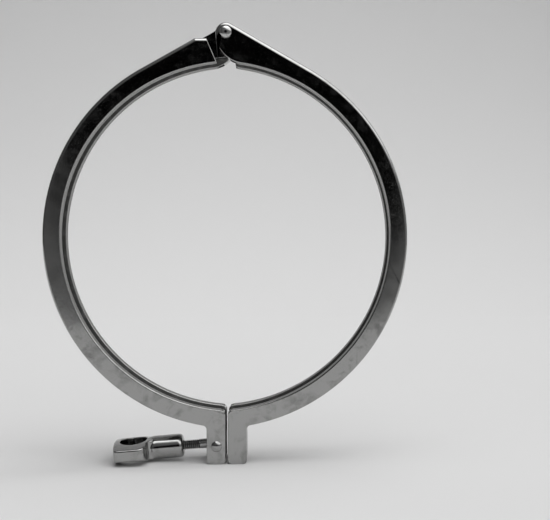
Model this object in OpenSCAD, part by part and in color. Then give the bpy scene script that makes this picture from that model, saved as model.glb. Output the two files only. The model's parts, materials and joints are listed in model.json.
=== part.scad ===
// Single-pin hinged clamp with an internal V groove, for ferrules of 200 mm pipe.
// The origin is the axis of the pipe, which is the centre of the left half's arc.
// Front is -Y, the hinge is at the top, and the halves meet on a plane left of the origin.

/* [Ring] */
// Outer radius of each half's arc
outer_r = 124.4; // [122:0.2:128]
// Radius of the lips that close over the ferrules' backs
lip_r = 113; // [111:0.2:114]
// Radius of the groove's floor
groove_r = 118; // [116:0.2:119]
// Width of the groove's floor
groove_floor_w = 8; // [6:0.5:9]
// Slope of each groove wall, from square to the axis
groove_slope = 20; // [15:1:22]
// Width of the ring, front to back
ring_w = 24.5; // [23:0.5:28]
// How far each arc's centre lies past the plane where the halves meet
arc_past = 6.6; // [5:0.2:8]

/* [Hinge] */
// Height of the hinge pin above the pipe's axis
hinge_z = 131.5; // [130:0.5:133]
// Radius of the rivet's shank
hinge_pin_r = 2.75; // [2:0.25:3]
// Radius of the rivet's formed head
hinge_head_r = 4; // [3.5:0.25:5]
// Height of the formed head
hinge_head_h = 2.2; // [1.5:0.1:3]
// How far the rivet's other end stands out
hinge_tail_h = 2.9; // [2:0.1:3.5]
// Radius of the right half's knuckle
right_knuckle_r = 6.7; // [6:0.1:7]
// Radius of the left half's knuckle
left_knuckle_r = 7.9; // [7:0.1:8]
// Gap between the two tongues
tongue_gap = 1.2; // [0.6:0.1:2]
// Radius of each tongue's rounded underside
tongue_under_r = 19.4; // [19:0.2:22]
// Distance from the pin to the shoulder that the other tongue passes
shoulder_d = 12.9; // [12:0.1:14]
// Lean of the shoulder from upright
shoulder_lean = 23.3; // [20:0.5:26]
// Drop of the shoulder's flat top below the pin
shoulder_drop = 3.6; // [3:0.1:5]

/* [Lugs] */
// Thickness of each lug
lug_t = 12.3; // [11:0.1:14]
// Gap between the closed lugs
lug_gap = 1.5; // [1:0.1:3]
// Depth of the lugs' feet below the pipe's axis
foot_z = 147.9; // [146:0.1:150]
// Radius of the lugs' lower corners
foot_corner_r = 2.5; // [1:0.5:4]
// Radius where a lug runs into the ring, and at the lip's end
lug_fillet_r = 3; // [1:0.5:4]
// Width of the slot for the swing bolt
slot_w = 9; // [8:0.2:10]
// Height of the slot's roof above the bolt's pivot
slot_roof = 7; // [6.5:0.1:8]

/* [Swing bolt] */
// Distance of the pivot from the plane where the halves meet
pivot_in = 6.65; // [6.5:0.05:7]
// Height of the pivot above the feet
pivot_up = 11.8; // [11:0.1:13]
// Radius of the pivot rivet's shank
pivot_pin_r = 2.5; // [2:0.25:3]
// Radius of the pivot rivet's heads
pivot_head_r = 3.5; // [3:0.25:4.5]
// Height of the pivot rivet's heads
pivot_head_h = 2.5; // [1.5:0.1:3]
// Radius of the bolt's eye
eye_r = 5.5; // [5:0.1:6]
// Width of the bolt's eye
eye_w = 8.5; // [7:0.1:8.5]
// Outer radius of the bolt's thread
thread_r = 3.175; // [3:0.005:3.2]
// Distance from the pivot to the start of the thread
thread_start = 10.8; // [10:0.1:12]
// Distance from the pivot to the bolt's tip
bolt_l = 55.5; // [54:0.5:58]
// Droop of the bolt below level, where its nut lies on the ground
bolt_droop = 4.4; // [4:0.1:5.5]

/* [Wing nut] */
// Distance from the pivot to the nut's bearing face
nut_at = 22.15; // [20.2:0.05:24]
// Radius of the nut's barrel
barrel_r = 7.7; // [7:0.1:8]
// Length of the barrel
barrel_l = 19.6; // [18:0.2:21]
// Rounding of the barrel's end
barrel_round = 2.8; // [1:0.1:3]
// Length of the whole nut
nut_l = 45.1; // [44:0.1:46]
// Width of the nut's wing
wing_w = 36.4; // [34:0.2:38]
// Thickness of the wing in its middle
wing_t = 13.2; // [12.4:0.2:14]
// Thickness of the wing along its sides
wing_side_t = 6.9; // [6:0.1:8]
// Width of the finger eye, across the nut
eye_hole_w = 21; // [19:0.5:22]
// Length of the finger eye, along the nut
eye_hole_l = 17.5; // [16:0.5:18]
// Wall between the finger eye and the nut's end
eye_wall = 3.6; // [3:0.1:4.5]
// Radial clearance of the nut and the rivets in what turns on them
running_gap = 0.05; // [0.02:0.01:0.1]

/* [Hidden] */
$fn = 96;

split_x = -arc_past;
half_w = ring_w / 2;
big = 400;
lug_out = lug_gap / 2 + lug_t;
pivot_x = split_x - pivot_in;
pivot_z = pivot_up - foot_z;
steel = "#9a9b9c";
bright_steel = "#b4b5b6";

// The straight outer edge near the hinge touches the ring's outer circle and the knuckle's.
pin_dist = norm([arc_past, hinge_z]);
tangent_dir = atan2(hinge_z, split_x) + acos((outer_r - right_knuckle_r) / pin_dist);
tangent_bite = 0.05; // curves that would only touch cross by this much
left_knuckle_rise = 42.6; // slope of the left knuckle's own back, above level

head_gap = 0.15; // a formed head's clearance from the tongue that turns under it
rivet_grip = 0.01; // a rivet's shank is this much larger than the hole that holds it
tail_step = 0.25; // the rivet's tail is this much larger in radius than its shank
tail_rim_h = 1.2; // height of the tail's upright rim
over = 1; // how far a cut runs past what it cuts
tongue_root_drop = 8; // the tongue's outline ends this far inside the lip
tongue_root_run = 40; // how far back it goes there
lip_end_raise = 0.3; // the rounding of the lip's end starts this far above the lip
shoulder_reach = 22; // how far back the shoulder's flat top goes
shank_under = 0.05; // the plain shank is this much smaller than the thread
tip_chamfer = 0.8; // chamfer of the bolt's tip
taper_l = 6; // length over which the nut's barrel runs into its wing
taper_tuck = 0.3; // the taper ends this far under the wing's surface
wing_corner_in = 1.4; // the wing's far corners lie this much nearer than its end
wing_start = 23.5; // from the nut's bearing face to its wing
wing_shoulder_r = 5; // the wing's near corners
wing_corner_r = 2; // the wing's far corners
wing_end_r = 120; // the wing's bowed end
neck_fillet_r = 4; // the fillet between the barrel and the wing
neck_bite = 1; // how far each neck fillet starts inside the barrel
lip_bite = 2; // how far the groove's cut starts inside the lip
eye_mid = nut_l - eye_wall - eye_hole_l / 2; // middle of the finger eye, from the bearing face

function ray(d, a) = [d * cos(a), d * sin(a)];

// The tongue's underside is an arc that touches the knuckle's side and the lip.
function under_centre(knuckle_r) =
    let (x = split_x - tongue_under_r + knuckle_r - tangent_bite)
    [x, sqrt(pow(lip_r + tongue_under_r - tangent_bite, 2) - pow(x, 2))];

// Children drawn in X and Y stand up in X and Z, and run from y0 to y1.
module slab(y0, y1) {
    translate([0, y1, 0])
        rotate([90, 0, 0])
            linear_extrude(y1 - y0)
                children();
}

// A pin along Y.
module pin_along_y(r, y0, y1) {
    slab(y0, y1)
        circle(r);
}

// A square corner to take away, which leaves a round one.
module corner(r) {
    difference() {
        square(r + over);
        circle(r);
    }
}

// The straight run from the arc to the knuckle, and the tongue below the pin.
module tongue_outline(knuckle_r) {
    pin = [split_x, hinge_z];
    polygon([
        ray(outer_r - tangent_bite, tangent_dir),
        pin + ray(right_knuckle_r, tangent_dir),
        pin,
        pin + [knuckle_r + over, 0],
        [split_x + knuckle_r + over, lip_r - tongue_root_drop / 2],
        [split_x - tongue_root_run, lip_r - tongue_root_drop]
    ]);
}

// The knuckle's own back, which meets the straight run.
module knuckle_back(r, rise) {
    back = ray(r - tangent_bite, 90 + rise);
    translate([split_x, hinge_z])
        polygon([[0, 0], back, back + ray(r, 180 + rise), [-r, -r]]);
}

// What lies below the tongue's rounded underside, from the lip to the knuckle.
module below_tongue(knuckle_r) {
    under = under_centre(knuckle_r);
    difference() {
        rotate(atan2(under[1], under[0]))
            translate([0, -big])
                square([big, big]);
        translate(under)
            circle(tongue_under_r);
    }
}

module lug_outline() {
    x0 = split_x - lug_out;
    difference() {
        translate([x0, -foot_z])
            square([lug_t, foot_z - lip_r - lip_bite]);
        translate([x0 + foot_corner_r, foot_corner_r - foot_z])
            rotate(180)
                corner(foot_corner_r);
        translate([x0 + lug_t - foot_corner_r, foot_corner_r - foot_z])
            rotate(270)
                corner(foot_corner_r);
    }
}

// The fillet that touches the ring and the lug's outer face.
module lug_fillet() {
    x0 = split_x - lug_out;
    x = x0 - lug_fillet_r + tangent_bite;
    reach = outer_r + lug_fillet_r - tangent_bite;
    centre = [x, -sqrt(pow(reach, 2) - pow(x, 2))];
    in_ring = centre * (outer_r - over) / reach;
    difference() {
        polygon([centre, in_ring, [x0 + over, in_ring[1]], [x0 + over, centre[1]]]);
        translate(centre)
            circle(lug_fillet_r);
    }
}

// One casting as the left half: its tongue is behind, and its shoulder in front.
module casting(knuckle_r, knuckle_rise) {
    lug_face = split_x - lug_gap / 2;
    difference() {
        union() {
            slab(-half_w, half_w)
                circle(outer_r);
            slab(-half_w, half_w)
                tongue_outline(knuckle_r);
            slab(-half_w, half_w)
                knuckle_back(knuckle_r, knuckle_rise);
            slab(-half_w, half_w)
                translate([split_x, hinge_z])
                    circle(knuckle_r);
            slab(-half_w, half_w)
                lug_outline();
            slab(-half_w, half_w)
                lug_fillet();
        }
        slab(-half_w - over, half_w + over)
            circle(lip_r);
        groove();
        slab(-half_w - over, half_w + over)
            below_tongue(knuckle_r);
        // the other half's side, below the hinge
        slab(-half_w - over, half_w + over)
            translate([lug_face, -big])
                square([big, big + lip_r / 2]);
        // the lip's end is rounded where the halves meet
        slab(-half_w - over, half_w + over)
            translate([lug_face - lug_fillet_r, -lip_r - lug_fillet_r + lip_end_raise])
                corner(lug_fillet_r);
        // the other half's tongue passes in front of this one
        slab(-half_w - over, tongue_gap / 2)
            translate([split_x, hinge_z])
                rotate(shoulder_lean)
                    translate([-shoulder_d, -big / 2])
                        square(big);
        slab(-half_w - over, tongue_gap / 2)
            translate([split_x - shoulder_reach, hinge_z - shoulder_drop])
                square(2 * shoulder_reach);
        // the swing bolt's slot
        translate([split_x - lug_out - over, -slot_w / 2, -foot_z - over])
            cube([lug_out + 2 * over, slot_w, pivot_up + slot_roof + over]);
    }
}

module groove() {
    wall_run = (groove_r - lip_r + lip_bite) * tan(groove_slope);
    rotate([90, 0, 0])
        rotate_extrude()
            polygon([
                [lip_r - lip_bite, -groove_floor_w / 2 - wall_run],
                [groove_r, -groove_floor_w / 2],
                [groove_r, groove_floor_w / 2],
                [lip_r - lip_bite, groove_floor_w / 2 + wall_run]
            ]);
}

// A rivet's domed head, with its flat side at y and its dome towards side.
module dome_head(r, h, y, side) {
    ball_r = (r * r + h * h) / (2 * h);
    translate([0, y, 0])
        rotate([side * -90, 0, 0])
            intersection() {
                translate([0, 0, h - ball_r])
                    sphere(ball_r);
                cylinder(r = r, h = h + over);
            }
}

module left_clamp_half() {
    color(steel)
        difference() {
            casting(left_knuckle_r, left_knuckle_rise);
            translate([split_x, 0, hinge_z])
                pin_along_y(hinge_pin_r, -half_w - over, half_w + over);
            translate([pivot_x, 0, pivot_z])
                pin_along_y(pivot_pin_r, -half_w - over, half_w + over);
        }
}

module right_clamp_half() {
    color(steel)
        difference() {
            translate([2 * split_x, 0, 0])
                rotate([0, 0, 180])
                    casting(right_knuckle_r, tangent_dir - 90);
            translate([split_x, 0, hinge_z])
                pin_along_y(hinge_pin_r + running_gap, -half_w - over, half_w + over);
        }
}

module hinge_pin() {
    tail_r = hinge_pin_r + tail_step;
    color(bright_steel)
        translate([split_x, 0, hinge_z]) {
            pin_along_y(hinge_pin_r, -half_w - head_gap - over, tongue_gap / 2);
            pin_along_y(hinge_pin_r + rivet_grip, tongue_gap / 2, half_w + over);
            dome_head(hinge_head_r, hinge_head_h, -half_w - head_gap, -1);
            pin_along_y(tail_r, half_w, half_w + tail_rim_h);
            dome_head(tail_r, hinge_tail_h - tail_rim_h, half_w + tail_rim_h, 1);
        }
}

module bolt_pivot_pin() {
    color(bright_steel)
        translate([pivot_x, 0, pivot_z]) {
            pin_along_y(pivot_pin_r, -half_w, half_w);
            for (side = [-1, 1]) {
                y0 = side > 0 ? slot_w / 2 : -half_w - over;
                y1 = side > 0 ? half_w + over : -slot_w / 2;
                pin_along_y(pivot_pin_r + rivet_grip, y0, y1);
                dome_head(pivot_head_r, pivot_head_h, side * half_w, side);
            }
        }
}

// Children lie along -X from the pivot, at rest.
module at_pivot() {
    translate([pivot_x, 0, pivot_z])
        rotate([0, -bolt_droop, 0])
            rotate([0, -90, 0])
                children();
}

module swing_bolt() {
    shank_r = thread_r - shank_under;
    color(bright_steel)
        at_pivot()
            difference() {
                union() {
                    cylinder(r = shank_r, h = thread_start + over);
                    translate([0, 0, thread_start])
                        cylinder(r = thread_r, h = bolt_l - thread_start - tip_chamfer);
                    translate([0, 0, bolt_l - tip_chamfer])
                        cylinder(r1 = thread_r, r2 = thread_r - tip_chamfer, h = tip_chamfer);
                    pin_along_y(eye_r, -eye_w / 2, eye_w / 2);
                }
                pin_along_y(pivot_pin_r + running_gap, -half_w, half_w);
            }
}

// The nut from above, its bearing face on the Y axis, and its length along X.
module wing_plan() {
    difference() {
        intersection() {
            translate([wing_start, -wing_w / 2])
                square([nut_l - wing_start, wing_w]);
            translate([nut_l - wing_end_r, 0])
                circle(wing_end_r);
        }
        for (side = [0, 1]) {
            mirror([0, side]) {
                translate([wing_start + wing_shoulder_r, wing_w / 2 - wing_shoulder_r])
                    rotate(90)
                        corner(wing_shoulder_r);
                translate([nut_l - wing_corner_in - wing_corner_r, wing_w / 2 - wing_corner_r])
                    corner(wing_corner_r);
            }
        }
    }
    for (side = [0, 1])
        mirror([0, side])
            difference() {
                translate([wing_start - neck_fillet_r, 0])
                    square([neck_fillet_r + over, barrel_r + neck_fillet_r - neck_bite]);
                translate([wing_start - neck_fillet_r, barrel_r + neck_fillet_r - neck_bite])
                    circle(neck_fillet_r);
            }
}

// The wing from its end: flat sides, and a swell above and below.
module wing_section() {
    swell = (wing_t - wing_side_t) / 2;
    swell_r = (pow(wing_w / 2, 2) + pow(swell, 2)) / (2 * swell);
    intersection() {
        square([wing_w, wing_t], center = true);
        translate([0, wing_t / 2 - swell_r])
            circle(swell_r);
        translate([0, swell_r - wing_t / 2])
            circle(swell_r);
    }
}

module wing_nut() {
    color(steel)
        at_pivot()
            translate([0, 0, nut_at])
                difference() {
                    union() {
                        rotate_extrude()
                            difference() {
                                square([barrel_r, barrel_l + taper_l]);
                                translate([barrel_r - barrel_round, barrel_round])
                                    rotate(270)
                                        corner(barrel_round);
                                // the barrel tapers into the wing
                                polygon([
                                    [barrel_r, barrel_l],
                                    [wing_t / 2 - taper_tuck, barrel_l + taper_l],
                                    [barrel_r + over, barrel_l + taper_l + over],
                                    [barrel_r + over, barrel_l]
                                ]);
                            }
                        intersection() {
                            rotate([0, -90, 0])
                                linear_extrude(wing_w, center = true)
                                    wing_plan();
                            linear_extrude(nut_l)
                                rotate(90)
                                    wing_section();
                        }
                    }
                    translate([0, 0, -over])
                        cylinder(r = thread_r + running_gap, h = eye_mid);
                    translate([0, 0, eye_mid])
                        rotate([0, 90, 0])
                            linear_extrude(wing_w, center = true)
                                finger_eye();
                }
}

module finger_eye() {
    offset_y = (eye_hole_w - eye_hole_l) / 2;
    for (side = [-1, 1])
        translate([0, side * offset_y])
            circle(eye_hole_l / 2);
    square([eye_hole_l, 2 * offset_y], center = true);
}

left_clamp_half();
right_clamp_half();
hinge_pin();
swing_bolt();
bolt_pivot_pin();
wing_nut();
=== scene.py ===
import json
import math

import bmesh
import bpy
from mathutils import Matrix, Vector


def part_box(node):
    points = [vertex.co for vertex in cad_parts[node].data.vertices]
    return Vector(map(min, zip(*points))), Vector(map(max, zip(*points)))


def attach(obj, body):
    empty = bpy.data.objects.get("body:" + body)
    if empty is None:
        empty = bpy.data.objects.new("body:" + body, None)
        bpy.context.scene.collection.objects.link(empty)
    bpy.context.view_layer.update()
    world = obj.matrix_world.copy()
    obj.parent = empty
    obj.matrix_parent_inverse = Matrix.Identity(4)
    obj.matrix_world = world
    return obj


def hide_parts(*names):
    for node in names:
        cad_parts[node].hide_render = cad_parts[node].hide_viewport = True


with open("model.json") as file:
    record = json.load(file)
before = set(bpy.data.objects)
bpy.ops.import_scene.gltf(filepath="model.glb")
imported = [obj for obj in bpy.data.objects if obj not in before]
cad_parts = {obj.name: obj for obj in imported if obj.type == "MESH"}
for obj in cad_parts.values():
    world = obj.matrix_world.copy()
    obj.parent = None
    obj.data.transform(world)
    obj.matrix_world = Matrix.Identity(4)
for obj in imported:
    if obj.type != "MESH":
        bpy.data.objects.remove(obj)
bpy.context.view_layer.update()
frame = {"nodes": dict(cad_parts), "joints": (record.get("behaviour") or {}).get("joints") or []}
mm = 0.001

# Places come from the imported part: its joints and the nodes' own boxes
jointAt = {j["name"]: Vector(j["pos_m"]) for j in frame["joints"] if "pos_m" in j}
hingeAt = jointAt["clamp_hinge"]
pivotAt = jointAt["bolt_swing"]
boltWay = next(Vector(j["axis"]) for j in frame["joints"] if j["name"] == "nut_travel").normalized()
boltFrame = Matrix.Translation(pivotAt) @ boltWay.to_track_quat("Z", "Y").to_matrix().to_4x4()
leftLow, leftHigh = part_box("left_clamp_half")
halfWidth = leftHigh.y
floorLevel = leftLow.z
print("frame loaded, ring", round(2 * halfWidth / mm, 2), "mm wide")


def toLinear(hexColour):
    parts = [int(hexColour[i:i + 2], 16) / 255 for i in (1, 3, 5)]
    return tuple(p / 12.92 if p <= 0.04045 else ((p + 0.055) / 1.055) ** 2.4 for p in parts) + (1.0,)


# One call adds a node; an input given as a socket is linked, anything else is set
def addNode(tree, kind, inputs=None, **settings):
    made = tree.nodes.new("ShaderNode" + kind)
    for name, value in settings.items():
        setattr(made, name, value)
    for name, value in (inputs or {}).items():
        if isinstance(value, bpy.types.NodeSocket):
            tree.links.new(value, made.inputs[name])
        else:
            made.inputs[name].default_value = value
    return made


def patternScale(sizeMm):
    return 1 / (sizeMm * mm)


def newMaterial(name):
    material = bpy.data.materials.new(name)
    material.use_nodes = True
    tree = material.node_tree
    tree.nodes.clear()
    place = addNode(tree, "TexCoord").outputs["Object"]
    return material, tree, place


def setSurface(tree, shader):
    addNode(tree, "OutputMaterial", {"Surface": shader.outputs[0]})


# Investment-cast AISI 304, ground flat on its faces and then barrel polished: a grey
# mirror that is a little soft, with faint water stains, slow waves and fine scratches
polishedCasting = {
    "clean": "#a5a5a4", "stained": "#838382", "roughness": (0.09, 0.24),
    "stainMm": 9.0, "waveMm": 17.0, "waveHigh": 0.12, "grainMm": 0.45, "grainHigh": 0.0012,
    "scratchMm": (0.5, 14.0), "scratchHigh": 0.0016,
}

# Where in its noise a stain, the wear or a scratch starts and is full, on every polished finish
polishing = {
    "stainRange": (0.5, 0.78), "wearRange": (0.35, 1.4), "scratchRange": (0.62, 0.7),
    "finerStains": 6, "scratchTurn": (0.0, 0.5, 0.3),
}


def castStainless(name, look):
    material, tree, place = newMaterial(name)
    stain = addNode(tree, "TexNoise", {"Vector": place, "Scale": patternScale(look["stainMm"]),
                                       "Detail": 5.0, "Roughness": 0.62, "Distortion": 0.6})
    starts, full = polishing["stainRange"]
    stained = addNode(tree, "MapRange", {"Value": stain.outputs["Fac"], "From Min": starts,
                                         "From Max": full})
    finer = patternScale(look["stainMm"] / polishing["finerStains"])
    fine = addNode(tree, "TexNoise", {"Vector": place, "Scale": finer, "Detail": 3.0})
    colour = addNode(tree, "Mix", {"Factor": stained.outputs[0]}, data_type="RGBA")
    colour.inputs["A"].default_value = toLinear(look["clean"])
    colour.inputs["B"].default_value = toLinear(look["stained"])
    worn = addNode(tree, "Math", {0: stained.outputs[0], 1: fine.outputs["Fac"]}, operation="ADD")
    starts, full = polishing["wearRange"]
    low, high = look["roughness"]
    rough = addNode(tree, "MapRange", {"Value": worn.outputs[0], "From Min": starts, "From Max": full,
                                       "To Min": low, "To Max": high})
    wave = addNode(tree, "TexNoise", {"Vector": place, "Scale": patternScale(look["waveMm"]),
                                      "Detail": 1.0})
    grain = addNode(tree, "TexNoise", {"Vector": place, "Scale": patternScale(look["grainMm"]),
                                       "Detail": 2.0})
    across, along = (patternScale(size) for size in look["scratchMm"])
    turned = addNode(tree, "Mapping", {"Vector": place, "Rotation": polishing["scratchTurn"],
                                       "Scale": (across, across, along)})
    scratch = addNode(tree, "TexNoise", {"Vector": turned.outputs[0], "Scale": 1.0, "Detail": 2.0})
    starts, full = polishing["scratchRange"]
    lines = addNode(tree, "MapRange", {"Value": scratch.outputs["Fac"], "From Min": starts,
                                       "From Max": full})
    waves = addNode(tree, "Bump", {"Height": wave.outputs["Fac"], "Distance": look["waveHigh"] * mm,
                                   "Strength": 1.0})
    grains = addNode(tree, "Bump", {"Height": grain.outputs["Fac"], "Distance": look["grainHigh"] * mm,
                                    "Strength": 1.0, "Normal": waves.outputs[0]})
    cuts = addNode(tree, "Bump", {"Height": lines.outputs[0], "Distance": look["scratchHigh"] * mm,
                                  "Strength": 1.0, "Normal": grains.outputs[0]}, invert=True)
    steel = addNode(tree, "BsdfPrincipled", {"Base Color": colour.outputs["Result"], "Metallic": 1.0,
                                             "Roughness": rough.outputs[0], "Normal": cuts.outputs[0]})
    setSurface(tree, steel)
    return material


# The bore was turned in a lathe and only its lands are buffed: the groove between them is dull, with fine
# rings round it.
# Its dark colour, which the milled faces between the lugs get too, is partly that dull finish and partly
# painted shade of the groove and the gap
# dull is the groove's colour, partly dull finish and partly painted shade; shadeRadii are where it starts
# and is full
turnedBore = {
    "buffed": "#bdbdbc", "dull": "#4a4a49", "roughness": (0.42, 0.46), "grazing": 0.34,
    "turnMm": 0.7, "turnHigh": 0.006, "greaseMm": 5.0, "greaseShare": 0.5,
    "shadeRadii": (113.1, 113.4),
}


def turnedStainless(name, look, arcCentreX):
    material, tree, place = newMaterial(name)
    parts = addNode(tree, "SeparateXYZ", {0: place})
    fromAxis = addNode(tree, "VectorMath", {0: place, 1: (arcCentreX, 0.0, 0.0)}, operation="SUBTRACT")
    flat = addNode(tree, "VectorMath", {0: fromAxis.outputs["Vector"], 1: (1.0, 0.0, 1.0)},
                   operation="MULTIPLY")
    radius = addNode(tree, "VectorMath", {0: flat.outputs["Vector"]}, operation="LENGTH")
    ring = addNode(tree, "CombineXYZ", {"X": radius.outputs["Value"], "Y": parts.outputs["Y"]})
    turning = addNode(tree, "TexNoise", {"Vector": ring.outputs[0],
                                         "Scale": patternScale(look["turnMm"]), "Detail": 3.0})
    grease = addNode(tree, "TexNoise", {"Vector": place, "Scale": patternScale(look["greaseMm"]),
                                        "Detail": 4.0})
    # Painted shade, besides the dull finish: the colour darkens from the lands' radius into the groove,
    # with random grease over it
    starts, full = look["shadeRadii"]
    depth = addNode(tree, "MapRange", {"Value": radius.outputs["Value"], "From Min": starts * mm,
                                       "From Max": full * mm})
    share = look["greaseShare"]
    uneven = addNode(tree, "Math", {0: grease.outputs["Fac"], 1: share, 2: -share / 2},
                     operation="MULTIPLY_ADD")
    grooveShadeAndGrease = addNode(tree, "Math", {0: depth.outputs[0], 1: uneven.outputs[0]}, operation="ADD",
                     use_clamp=True)
    colour = addNode(tree, "Mix", {"Factor": grooveShadeAndGrease.outputs[0]}, data_type="RGBA")
    colour.inputs["A"].default_value = toLinear(look["buffed"])
    colour.inputs["B"].default_value = toLinear(look["dull"])
    smooth, rough = look["roughness"]
    roughness = addNode(tree, "MapRange", {"Value": grooveShadeAndGrease.outputs[0], "To Min": smooth,
                                           "To Max": rough})
    rings = addNode(tree, "Bump", {"Height": turning.outputs["Fac"], "Distance": look["turnHigh"] * mm,
                                   "Strength": 1.0})
    grazing = (look["grazing"],) * 3 + (1.0,)
    steel = addNode(tree, "BsdfPrincipled", {"Base Color": colour.outputs["Result"], "Metallic": 1.0,
                                             "Specular Tint": grazing,
                                             "Roughness": roughness.outputs[0],
                                             "Normal": rings.outputs[0]})
    setSurface(tree, steel)
    return material


# Cold-headed stainless rivet, polished with the casting: brighter and smoother
polishedRivet = {
    "clean": "#c2c2c1", "stained": "#a0a09f", "roughness": (0.08, 0.16),
    "stainMm": 2.5, "waveMm": 3.0, "waveHigh": 0.015, "grainMm": 0.3, "grainHigh": 0.0006,
    "scratchMm": (0.3, 4.0), "scratchHigh": 0.0006,
}


# Rolled-thread stainless bar: grey and satin with random dirt; its crests are light and its roots near
# black, which is painted shade in the thread's hollows
rolledThread = {
    # root is the painted shade colour at the bottom of the thread
    "crest": "#a2a2a1", "root": "#232322", "roughness": (0.22, 0.5),
    "dirtMm": 1.4, "dirtHigh": 0.004, "dirtShare": 0.6,
}


def threadStainless(name, look, crestRadius, rootRadius):
    material, tree, place = newMaterial(name)
    # the bolt's own axis is laid along Z, so that the distance from it is a length in X and Y
    back = boltFrame.inverted()
    local = addNode(tree, "Mapping", {"Vector": place, "Location": tuple(back.translation),
                                      "Rotation": tuple(back.to_euler())})
    flat = addNode(tree, "VectorMath", {0: local.outputs[0], 1: (1.0, 1.0, 0.0)},
                   operation="MULTIPLY")
    radius = addNode(tree, "VectorMath", {0: flat.outputs["Vector"]}, operation="LENGTH")
    # Painted shade: from the crests down to the roots the colour darkens to near black
    height = addNode(tree, "MapRange", {"Value": radius.outputs["Value"], "From Min": rootRadius,
                                        "From Max": crestRadius})
    dirt = addNode(tree, "TexNoise", {"Vector": place, "Scale": patternScale(look["dirtMm"]),
                                      "Detail": 4.0})
    share = look["dirtShare"]
    uneven = addNode(tree, "Math", {0: dirt.outputs["Fac"], 1: share, 2: -share / 2},
                     operation="MULTIPLY_ADD")
    rootShadeAndDirt = addNode(tree, "Math", {0: height.outputs[0], 1: uneven.outputs[0]}, operation="ADD",
                    use_clamp=True)
    colour = addNode(tree, "Mix", {"Factor": rootShadeAndDirt.outputs[0]}, data_type="RGBA", clamp_factor=True)
    colour.inputs["A"].default_value = toLinear(look["root"])
    colour.inputs["B"].default_value = toLinear(look["crest"])
    smooth, dull = look["roughness"]
    rough = addNode(tree, "MapRange", {"Value": rootShadeAndDirt.outputs[0], "To Min": dull, "To Max": smooth})
    grain = addNode(tree, "Bump", {"Height": dirt.outputs["Fac"], "Distance": look["dirtHigh"] * mm,
                                   "Strength": 1.0})
    steel = addNode(tree, "BsdfPrincipled", {"Base Color": colour.outputs["Result"], "Metallic": 1.0,
                                             "Roughness": rough.outputs[0], "Normal": grain.outputs[0]})
    setSurface(tree, steel)
    return material


castingMaterial = castStainless("polishedCastStainless", polishedCasting)
rivetMaterial = castStainless("polishedRivetStainless", polishedRivet)
print("casting and rivet materials made")


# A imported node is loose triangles, so its copy is merged, and its flat faces made whole
nodeMerging = {"doublesMm": 0.002, "flatWithin": 0.5}


def nodeCopy(nodeName):
    bm = bmesh.new()
    bm.from_mesh(frame["nodes"][nodeName].data)
    bmesh.ops.remove_doubles(bm, verts=bm.verts, dist=nodeMerging["doublesMm"] * mm)
    bmesh.ops.dissolve_limit(bm, angle_limit=math.radians(nodeMerging["flatWithin"]),
                             verts=bm.verts, edges=bm.edges)
    return bm


def newPiece(name, bm, material):
    mesh = bpy.data.meshes.new(name)
    bm.to_mesh(mesh)
    bm.free()
    if "custom_normal" in mesh.attributes:
        mesh.attributes.remove(mesh.attributes["custom_normal"])
    mesh.materials.clear()
    mesh.materials.append(material)
    for face in mesh.polygons:
        face.use_smooth = True
        face.material_index = 0
    piece = bpy.data.objects.new(name, mesh)
    bpy.context.scene.collection.objects.link(piece)
    return piece


# Puts the result of a piece's modifiers in its mesh
def applyModifiers(piece):
    seen = piece.evaluated_get(bpy.context.evaluated_depsgraph_get())
    made = bpy.data.meshes.new_from_object(seen)
    made.name = piece.name
    piece.modifiers.clear()
    piece.data = made


def smoothByAngle(piece, degrees):
    piece.data.set_sharp_from_angle(angle=math.radians(degrees))
    weighted = piece.modifiers.new("flatFaces", "WEIGHTED_NORMAL")
    weighted.keep_sharp = True
    weighted.weight = 100
    applyModifiers(piece)


def finishPiece(piece, body, slotName, *nodes):
    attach(piece, body)
    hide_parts(*nodes)


# Radii in mm that the polishing gives each kind of edge on the two castings
castEdges = {
    "outer": 2.6, "lip": 0.95, "small": 0.55, "inside": 0.4, "groove": 0.35, "hole": 0.2,
    "segments": 4, "sharpest": 25.0, "sectors": 32, "smoothUnder": 30.0,
}

# Where each kind of edge lies, in mm: distances from a hole, from the arc's axis and from the
# plane of the split, and heights. A blend's radius is small at its first place, full at its second
edgePlaces = {
    "hole": 4.0, "groove": 119.0, "lip": 115.0, "offFace": 0.05,
    "knuckleAbove": 100.0, "knuckleWide": 13.5, "splitWide": 5.0,
    "lipBlend": (13.5, 50.0), "outerBlend": (-119.0, 100.0),
}


def blendedRadius(full, placeMm, blend):
    none, whole = blend
    share = min(1.0, max(0.0, (placeMm - none) / (whole - none)))
    return castEdges["small"] + share * (castEdges[full] - castEdges["small"])


# The outer edge's rounding shrinks towards the lugs, and the lip's towards both its ends
def edgeRadius(edge, arcCentreX):
    middle = (edge.verts[0].co + edge.verts[1].co) / 2 / mm
    hinge, pivot = hingeAt / mm, pivotAt / mm
    fromArc = math.hypot(middle.x - arcCentreX / mm, middle.z)
    fromSplit = abs(middle.x - hinge.x)
    toHole = min((middle.xz - hinge.xz).length, (middle.xz - pivot.xz).length)
    if toHole < edgePlaces["hole"]:
        return castEdges["hole"]
    if abs(middle.y) <= halfWidth / mm - edgePlaces["offFace"]:
        return castEdges["groove" if fromArc < edgePlaces["groove"] else "inside"]
    if fromArc < edgePlaces["lip"]:
        return blendedRadius("lip", fromSplit, edgePlaces["lipBlend"])
    underPin = edgePlaces["knuckleAbove"] < middle.z < hinge.z and fromSplit < edgePlaces["knuckleWide"]
    if underPin or (middle.z < 0 and fromSplit < edgePlaces["splitWide"]):
        return castEdges["small"]
    return blendedRadius("outer", middle.z, edgePlaces["outerBlend"])


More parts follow.
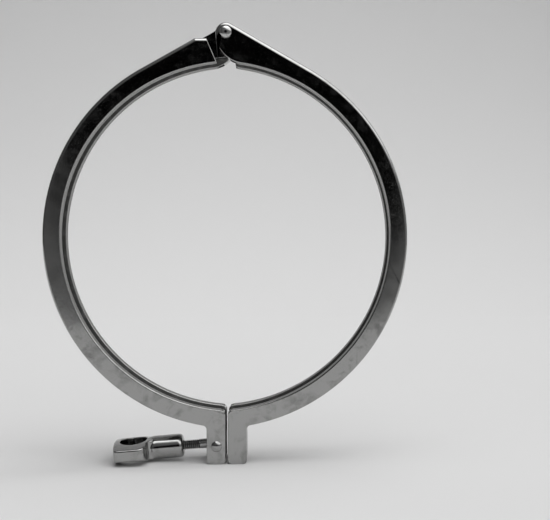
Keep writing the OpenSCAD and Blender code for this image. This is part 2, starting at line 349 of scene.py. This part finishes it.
# Planes through the arc's axis cut the long C-shaped faces into short ones
def cutInSectors(bm, arcCentreX, planes):
    for i in range(planes):
        angle = math.pi * (i + 0.5) / planes
        bmesh.ops.bisect_plane(bm, geom=bm.verts[:] + bm.edges[:] + bm.faces[:], dist=1e-6,
                               plane_co=(arcCentreX, 0, 0),
                               plane_no=(math.cos(angle), 0, math.sin(angle)))


# Which faces a tool cut: the bore up to this radius, and the lugs' faces on both sides of their
# gap. Such a face looks squarely inwards, along the axis or across the gap
# These faces take the bore's dark colour, which is partly painted shade of the groove and of the narrow
# gap between the lugs
machined = {"radius": 118.3, "lugsBelow": -100.0, "lugGap": 1.5, "squarely": 0.9}


def isMachined(face, arcCentreX):
    squarely = machined["squarely"]
    outward = Vector((face.center.x - arcCentreX, 0, face.center.z))
    inBore = outward.length < machined["radius"] * mm
    offFace = abs(face.center.y) < halfWidth - castEdges["small"] * mm
    inward = -face.normal.dot(outward.normalized())
    if inBore and offFace and (inward > squarely or abs(face.normal.y) > squarely):
        return True
    atGap = abs(face.center.x - hingeAt.x) < machined["lugGap"] * mm
    return atGap and face.center.z < machined["lugsBelow"] * mm and abs(face.normal.x) > squarely


def makeHalf(name, nodeName, body, arcCentreX):
    bm = nodeCopy(nodeName)
    cutInSectors(bm, arcCentreX, castEdges["sectors"])
    weight = bm.edges.layers.float.new("bevel_weight_edge")
    for edge in bm.edges:
        turn = math.degrees(edge.calc_face_angle(0.0))
        if turn > castEdges["sharpest"] and edge.is_convex:
            edge[weight] = edgeRadius(edge, arcCentreX) / castEdges["outer"]
    piece = newPiece(name, bm, castingMaterial)
    bevel = piece.modifiers.new("polishedEdges", "BEVEL")
    bevel.limit_method = "WEIGHT"
    bevel.width = castEdges["outer"] * mm
    bevel.segments = castEdges["segments"]
    bevel.use_clamp_overlap = False
    applyModifiers(piece)
    smoothByAngle(piece, castEdges["smoothUnder"])
    # The bore material paints shade on the groove and on the faces of the lugs' gap, along with their
    # dull finish
    piece.data.materials.append(turnedStainless(name + "Bore", turnedBore, arcCentreX))
    for face in piece.data.polygons:
        face.material_index = 1 if isMachined(face, arcCentreX) else 0
    finishPiece(piece, body, "cast_steel", nodeName)


makeHalf("leftHalfCasting", "left_clamp_half", "fixed_half", 0.0)
makeHalf("rightHalfCasting", "right_clamp_half", "opening_half", 2 * hingeAt.x)
print("ring halves made")


# The nut is one casting, so every corner of it flows: it is remeshed finely and smoothed
nutCasting = {
    "voxelMm": 0.36, "smoothings": 22, "smoothShare": 0.5, "boreRadius": 3.24, "boreEnd": 48.0,
}


# The smoothing closes the nut's bore a little, so it is opened again to run clear of the thread
def reamBore(mesh, radius, end):
    toBolt = boltFrame.inverted()
    for vert in mesh.vertices:
        place = toBolt @ vert.co
        across = math.hypot(place.x, place.y)
        if across < radius and place.z < end:
            place.x *= radius / across
            place.y *= radius / across
            vert.co = boltFrame @ place


def makeWingNut():
    piece = newPiece("wingNutCasting", nodeCopy("wing_nut"), castingMaterial)
    remesh = piece.modifiers.new("evenMesh", "REMESH")
    remesh.mode = "VOXEL"
    remesh.voxel_size = nutCasting["voxelMm"] * mm
    remesh.use_smooth_shade = True
    smooth = piece.modifiers.new("castCorners", "SMOOTH")
    smooth.factor = nutCasting["smoothShare"]
    smooth.iterations = nutCasting["smoothings"]
    applyModifiers(piece)
    reamBore(piece.data, nutCasting["boreRadius"] * mm, nutCasting["boreEnd"] * mm)
    finishPiece(piece, "nut", "cast_steel", "wing_nut")


makeWingNut()
print("wing nut made")


# Quarter-inch thread, 20 to the inch, on a plain shank with a flattened eye
swingBolt = {
    "crestRadius": 3.175, "rootRadius": 2.35, "pitch": 1.27, "crestWide": 0.25, "steps": 28,
    "shankRadius": 3.12, "threadFrom": 10.8, "runOut": 1.6, "tip": 0.8, "length": 55.5,
    "eyeRadius": 5.5, "eyeWide": 8.5, "eyeRim": 0.5, "eyeSides": 64, "boreRadius": 2.56,
    "sharpOver": 40.0,
}


def threadedRod(look):
    bm = bmesh.new()
    start, end, pitch = look["threadFrom"] * mm, look["length"] * mm, look["pitch"] * mm
    turns = math.ceil((end - start) / pitch) + 3
    crest, root = look["crestRadius"] * mm, look["rootRadius"] * mm
    flat = look["crestWide"] * mm / 2
    z = start - 2 * pitch
    heights = [(root, z), (crest, z + pitch / 2 - flat), (crest, z + pitch / 2 + flat), (root, z + pitch)]
    chain = [bm.verts.new((r, 0, h)) for r, h in heights]
    edges = [bm.edges.new(pair) for pair in zip(chain, chain[1:])]
    bmesh.ops.spin(bm, geom=chain + edges, axis=(0, 0, 1), cent=(0, 0, 0),
                   angle=2 * math.pi * turns, steps=look["steps"] * turns,
                   dvec=(0, 0, pitch / look["steps"]), use_merge=False)
    bmesh.ops.remove_doubles(bm, verts=bm.verts, dist=0.002 * mm)
    for height, way in ((start, -1), (end, 1)):
        bmesh.ops.bisect_plane(bm, geom=bm.verts[:] + bm.edges[:] + bm.faces[:], dist=1e-7,
                               plane_co=(0, 0, height), plane_no=(0, 0, way), clear_outer=True)
    shank = look["shankRadius"] * mm
    for vert in bm.verts:
        radius = math.hypot(vert.co.x, vert.co.y)
        runOut = min(1.0, (vert.co.z - start) / (look["runOut"] * mm))
        wanted = shank + (radius - shank) * runOut
        wanted = min(wanted, crest - look["tip"] * mm + max(0.0, end - vert.co.z))
        vert.co.x *= wanted / radius
        vert.co.y *= wanted / radius
    rim = [e for e in bm.edges if e.is_boundary and max(v.co.z for v in e.verts) < start + 1e-6]
    grown = bmesh.ops.extrude_edge_only(bm, edges=rim)["geom"]
    moved = [g for g in grown if isinstance(g, bmesh.types.BMVert)]
    bmesh.ops.translate(bm, verts=moved, vec=(0, 0, -start))
    bmesh.ops.holes_fill(bm, edges=[e for e in bm.edges if e.is_boundary])
    bmesh.ops.recalc_face_normals(bm, faces=bm.faces)
    return bm


def makeSwingBolt(look):
    material = threadStainless("rolledThreadStainless", rolledThread,
                               look["crestRadius"] * mm, look["rootRadius"] * mm)
    bm = threadedRod(look)
    bm.transform(boltFrame)
    piece = newPiece("swingBolt", bm, material)
    eye = bmesh.new()
    bmesh.ops.create_cone(eye, cap_ends=True, segments=look["eyeSides"],
                          radius1=look["eyeRadius"] * mm, radius2=look["eyeRadius"] * mm,
                          depth=look["eyeWide"] * mm)
    rims = [e for e in eye.edges if e.calc_face_angle(0.0) > 1.0]
    bmesh.ops.bevel(eye, geom=rims, offset=look["eyeRim"] * mm, segments=3, profile=0.5,
                    affect="EDGES", material=-1)
    hole = bmesh.new()
    bmesh.ops.create_cone(hole, cap_ends=True, segments=look["eyeSides"],
                          radius1=look["boreRadius"] * mm, radius2=look["boreRadius"] * mm,
                          depth=2 * look["eyeWide"] * mm)
    helpers = []
    for helperName, helperMesh in (("eyeBarrel", eye), ("eyeBore", hole)):
        helperMesh.transform(Matrix.Translation(pivotAt) @ Matrix.Rotation(math.pi / 2, 4, "X"))
        helpers.append(newPiece(helperName, helperMesh, material))
    for operation, helper in zip(("UNION", "DIFFERENCE"), helpers):
        cut = piece.modifiers.new(operation, "BOOLEAN")
        cut.operation = operation
        cut.solver = "EXACT"
        cut.object = helper
    applyModifiers(piece)
    for helper in helpers:
        bpy.data.objects.remove(helper)
    piece.data.set_sharp_from_angle(angle=math.radians(look["sharpOver"]))
    finishPiece(piece, "bolt", "bolt_steel", "swing_bolt")


makeSwingBolt(swingBolt)
print("swing bolt made")


rivetTurning = {"sides": 64, "sharpOver": 50.0}


# A rivet turned about Y from its own outline: each row is a radius and a place along Y, in mm
def makeRivet(name, at, outline, nodeName, material):
    bm = bmesh.new()
    chain = [bm.verts.new((radius * mm, along * mm, 0)) for radius, along in outline]
    edges = [bm.edges.new(pair) for pair in zip(chain, chain[1:])]
    bmesh.ops.spin(bm, geom=chain + edges, axis=(0, 1, 0), cent=(0, 0, 0), angle=2 * math.pi,
                   steps=rivetTurning["sides"], use_merge=True)
    bmesh.ops.remove_doubles(bm, verts=bm.verts, dist=0.001 * mm)
    bmesh.ops.recalc_face_normals(bm, faces=bm.faces)
    bmesh.ops.translate(bm, verts=bm.verts, vec=at)
    piece = newPiece(name, bm, material)
    piece.data.set_sharp_from_angle(angle=math.radians(rivetTurning["sharpOver"]))
    finishPiece(piece, "fixed_half", "rivet_steel", nodeName)


# A formed head's outline from its crown to its rim: a flat dome that rolls over at its edge.
# The rim stands at base, and side says which way the head looks
def formedHead(radius, crownBall, crownWide, base, side, steps=8):
    lean = math.asin(crownWide / crownBall)
    roll = (radius - crownWide) / (1 - math.sin(lean))
    tilts = [lean * i / steps for i in range(steps)]
    dome = [(crownBall * math.sin(a), crownBall * (math.cos(a) - math.cos(lean))) for a in tilts]
    turns = [lean + (math.pi / 2 - lean) * i / steps for i in range(steps + 1)]
    edge = [(crownWide + roll * (math.sin(a) - math.sin(lean)), roll * (math.cos(a) - math.cos(lean)))
            for a in turns]
    high = roll * math.cos(lean)
    return [(r, base + side * (high + h)) for r, h in dome + edge]


hingeRivet = {
    "shank": 2.76, "head": 4.0, "crown": 7.5, "crownWide": 2.9, "gap": 0.15,
    "tail": 3.0, "tailCrown": 4.5, "tailCrownWide": 1.9, "tailRim": 0.75,
}
pivotRivet = {"shank": 2.5, "head": 3.5, "crown": 4.8, "crownWide": 3.3, "sunk": 0.1}


def makeRivets():
    face = halfWidth / mm
    look = hingeRivet
    front = -face - look["gap"]
    rows = formedHead(look["head"], look["crown"], look["crownWide"], front, -1)
    rows += [(look["shank"], front), (look["shank"], face), (look["tail"], face)]
    tailRim = face + look["tailRim"]
    rows += formedHead(look["tail"], look["tailCrown"], look["tailCrownWide"], tailRim, 1)[::-1]
    makeRivet("hingeRivet", Vector((hingeAt.x, 0, hingeAt.z)), rows, "hinge_pin", rivetMaterial)
    look = pivotRivet
    rim = face - look["sunk"]
    rows = formedHead(look["head"], look["crown"], look["crownWide"], -rim, -1)
    rows += [(look["shank"], -rim), (look["shank"], rim)]
    rows += formedHead(look["head"], look["crown"], look["crownWide"], rim, 1)[::-1]
    makeRivet("pivotRivet", Vector((pivotAt.x, 0, pivotAt.z)), rows, "bolt_pivot_pin", castingMaterial)


makeRivets()
print("rivets made")


# A pale matt paper sweep, with the floor at the feet; its sizes are in metres
paperSweep = {
    "colour": "#dedede", "roughness": 0.8, "fibreMm": 2.0, "fibreHigh": 0.02,
    "front": -0.95, "flat": 0.95, "curve": 0.8, "curveSteps": 24, "wallHigh": 1.6, "wide": 8.0,
}


def makeSweep(look):
    bm = bmesh.new()
    near = bm.verts.new((-look["wide"] / 2, look["front"], floorLevel))
    far = bm.verts.new((-look["wide"] / 2, look["flat"], floorLevel))
    bm.edges.new((near, far))
    centre = (-look["wide"] / 2, look["flat"], floorLevel + look["curve"])
    last = bmesh.ops.spin(bm, geom=[far], axis=(1, 0, 0), cent=centre, angle=math.pi / 2,
                          steps=look["curveSteps"])
    top = [g for g in last["geom_last"] if isinstance(g, bmesh.types.BMVert)]
    grown = bmesh.ops.extrude_vert_indiv(bm, verts=top)
    bmesh.ops.translate(bm, verts=grown["verts"], vec=(0, 0, look["wallHigh"]))
    wide = bmesh.ops.extrude_edge_only(bm, edges=bm.edges[:])["geom"]
    moved = [g for g in wide if isinstance(g, bmesh.types.BMVert)]
    bmesh.ops.translate(bm, verts=moved, vec=(look["wide"], 0, 0))
    bmesh.ops.recalc_face_normals(bm, faces=bm.faces)
    material, tree, place = newMaterial("palePaper")
    fibre = addNode(tree, "TexNoise", {"Vector": place, "Scale": patternScale(look["fibreMm"]),
                                       "Detail": 2.0})
    bump = addNode(tree, "Bump", {"Height": fibre.outputs["Fac"], "Distance": look["fibreHigh"] * mm,
                                  "Strength": 0.4})
    paper = addNode(tree, "BsdfPrincipled", {"Base Color": toLinear(look["colour"]),
                                             "Roughness": look["roughness"],
                                             "Specular IOR Level": 0.2, "Normal": bump.outputs[0]})
    setSurface(tree, paper)
    sweep = newPiece("paperSweep", bm, material)


makeSweep(paperSweep)


# The studio round the object: a bright ceiling that leans to the right and the front, pale
# walls, a dim front wall, and a dark doorway in it where the camera stands. What the camera
# sees directly is plain pale grey
studio = {
    "ceiling": 1.8, "ceilingTowards": (0.42, -0.22, 0.9), "ceilingAngle": (33.0, 47.0),
    "walls": 0.34, "frontWall": 0.2, "frontTurn": (-0.96, -0.3),
    "leftShare": 0.3, "leftTurn": (-0.7, 0.0), "below": 0.30, "belowTurn": (-0.02, -0.2),
    "door": 0.0, "doorTowards": (-0.017, -1.0, 0.176), "doorAngle": (12.3, 16.8),
    "plain": "#cfcfcf",
}


# How far a direction lies inside a cone: 1 within the first angle, and 0 beyond the second
def coneMask(tree, way, towards, angles):
    axis = tuple(Vector(towards).normalized())
    inner, outer = (math.cos(math.radians(a)) for a in angles)
    near = addNode(tree, "VectorMath", {0: way, 1: axis}, operation="DOT_PRODUCT")
    mask = addNode(tree, "MapRange", {"Value": near.outputs["Value"], "From Min": outer,
                                      "From Max": inner}, interpolation_type="SMOOTHSTEP")
    return mask.outputs[0]


def makeStudio(look):
    world = bpy.data.worlds.new("studio")
    bpy.context.scene.world = world
    world.use_nodes = True
    tree = world.node_tree
    tree.nodes.clear()
    way = addNode(tree, "TexCoord").outputs["Generated"]
    parts = addNode(tree, "SeparateXYZ", {0: way})
    starts, ends = look["frontTurn"]
    behind = addNode(tree, "MapRange", {"Value": parts.outputs["Y"], "From Min": starts,
                                        "From Max": ends, "To Min": look["frontWall"],
                                        "To Max": look["walls"]})
    starts, ends = look["leftTurn"]
    side = addNode(tree, "MapRange", {"Value": parts.outputs["X"], "From Min": starts,
                                      "From Max": ends, "To Min": look["leftShare"], "To Max": 1.0})
    wall = addNode(tree, "Math", {0: behind.outputs[0], 1: side.outputs[0]}, operation="MULTIPLY")
    starts, ends = look["belowTurn"]
    down = addNode(tree, "MapRange", {"Value": parts.outputs["Z"], "From Min": starts,
                                      "From Max": ends})
    lower = addNode(tree, "Mix", {"Factor": down.outputs[0], "A": wall.outputs[0],
                                  "B": look["below"]})
    above = coneMask(tree, way, look["ceilingTowards"], look["ceilingAngle"])
    upper = addNode(tree, "Mix", {"Factor": above, "A": lower.outputs[0], "B": look["ceiling"]})
    inDoor = coneMask(tree, way, look["doorTowards"], look["doorAngle"])
    level = addNode(tree, "Mix", {"Factor": inDoor, "A": upper.outputs[0], "B": look["door"]})
    light = addNode(tree, "Background", {"Color": (1, 1, 1, 1), "Strength": level.outputs[0]})
    plain = addNode(tree, "Background", {"Color": toLinear(look["plain"]), "Strength": 1.0})
    seen = addNode(tree, "LightPath").outputs["Is Camera Ray"]
    both = addNode(tree, "MixShader", {0: seen, 1: light.outputs[0], 2: plain.outputs[0]})
    addNode(tree, "OutputWorld", {"Surface": both.outputs[0]})


makeStudio(studio)


# One soft light over the object, and one that washes the sweep behind it
softboxes = [
    {"name": "overhead", "at": (0.05, -0.15, 0.85), "towards": (0.0, 0.0, 0.0),
     "size": (0.9, 0.6), "watts": 1.6},
    {"name": "backdropWash", "at": (0.0, 0.7, 0.9), "towards": (0.0, 1.7, 0.35),
     "size": (1.6, 0.3), "watts": 2.3},
]


def makeSoftbox(box):
    lamp = bpy.data.lights.new(box["name"], "AREA")
    lamp.shape = "RECTANGLE"
    lamp.size, lamp.size_y = box["size"]
    lamp.energy = box["watts"]
    light = bpy.data.objects.new(box["name"], lamp)
    light.location = box["at"]
    light.rotation_euler = (Vector(box["towards"]) - light.location).to_track_quat("-Z", "Y").to_euler()
    bpy.context.scene.collection.objects.link(light)


for box in softboxes:
    makeSoftbox(box)


# Square on to the ring, a little right of its middle, and tipped slightly down
viewpoint = {"at": (0.0205, -0.582, 0.003), "yaw": 2.2, "pitch": -1.79, "lens": 57.6, "shift": -0.049}


def makeCamera(look):
    data = bpy.data.cameras.new("camera")
    data.lens = look["lens"]
    data.sensor_width = 36.0
    data.shift_x = look["shift"]
    data.clip_start, data.clip_end = 0.01, 20.0
    camera = bpy.data.objects.new("camera", data)
    camera.location = look["at"]
    yaw, pitch = math.radians(look["yaw"]), math.radians(look["pitch"])
    camera.rotation_euler = (math.pi / 2 + pitch, 0.0, -yaw)
    bpy.context.scene.collection.objects.link(camera)
    bpy.context.scene.camera = camera


makeCamera(viewpoint)
bpy.context.scene.view_settings.view_transform = "Standard"
print("stage, lights and camera set")
